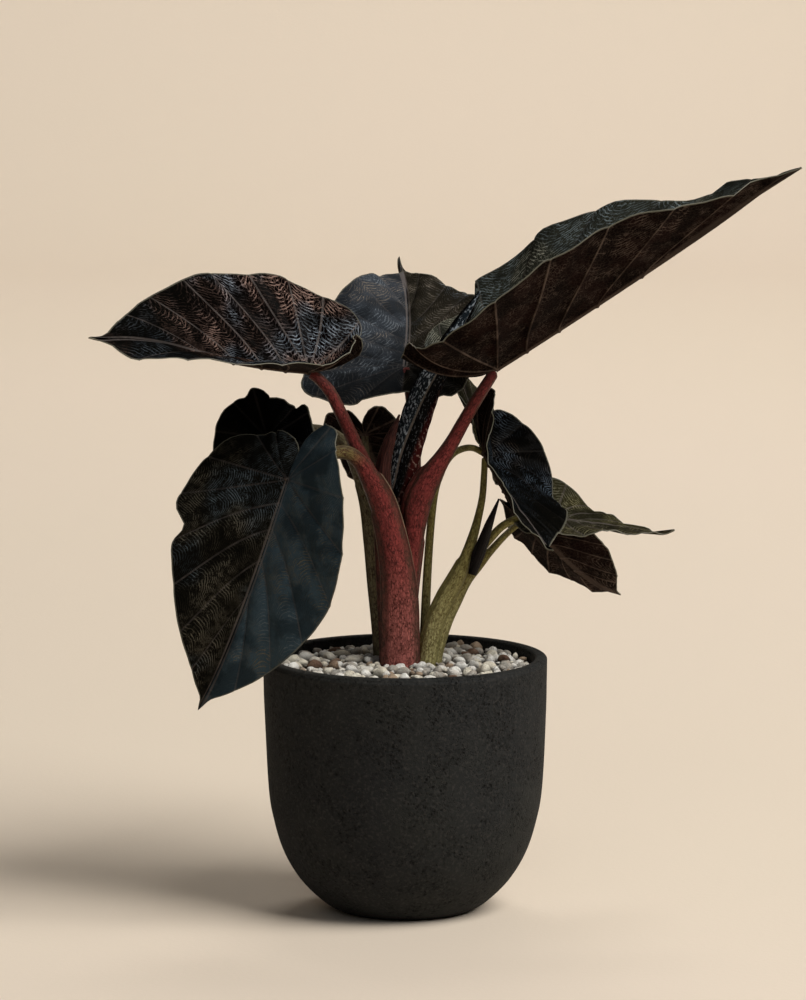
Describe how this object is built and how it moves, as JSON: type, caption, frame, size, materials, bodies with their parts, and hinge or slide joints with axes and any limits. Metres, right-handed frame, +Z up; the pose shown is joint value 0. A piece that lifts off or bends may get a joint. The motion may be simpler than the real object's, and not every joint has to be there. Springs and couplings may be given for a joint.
{
  "type": "potted velvet alocasia",
  "caption": "Round-bottomed pot with a pale pebble topping and an upright house plant: heart-shaped, wave-edged dark leaves on arching stalks, and a low side shoot.",
  "frame": {"origin": "centre of the pot's flat foot, on the surface that the pot stands on", "axes": "+Z up, +X to the right and +Y away from the viewer in the reference picture"},
  "size_m": [0.3539, 0.2554, 0.3946],
  "materials": {
    "pot_ceramic": "matte charcoal, finely pitted",
    "potting_mix": "loose dark fibrous mix",
    "pumice": "rough pale pebbles",
    "dark_blade": "velvety black with a satin gleam",
    "olive_blade": "satin dark olive",
    "rolled_blade": "glossy near-black",
    "red_stalk": "satin deep red, mottled",
    "olive_stalk": "satin olive, mottled",
    "dark_spear": "satin dark red-brown"
  },
  "bodies": {
    "root": {"pot": "pot_ceramic", "potting_mix": "potting_mix", "pumice_topping": "pumice", "blade_top_right": "dark_blade", "blade_top_left": "dark_blade", "blade_top_back": "dark_blade", "blade_front_left": "dark_blade", "blade_back_left": "dark_blade", "blade_back_low": "dark_blade", "blade_shoot_glossy": "dark_blade", "blade_shoot_hanging": "dark_blade", "blade_shoot_upright": "olive_blade", "blade_shoot_pointing": "olive_blade", "stalk_front_left": "red_stalk", "stalk_top_right": "red_stalk", "stalk_top_left": "red_stalk", "stalk_top_back": "red_stalk", "stalk_back_left": "olive_stalk", "stalk_back_low": "olive_stalk", "stalk_shoot_glossy": "olive_stalk", "stalk_shoot_hanging": "olive_stalk", "stalk_shoot_pointing": "olive_stalk", "stalk_shoot_upright": "olive_stalk", "rolled_leaf": "rolled_blade", "sheath_spear": "dark_spear", "shoot_spike": "dark_spear"}
  },
  "joints": []
}
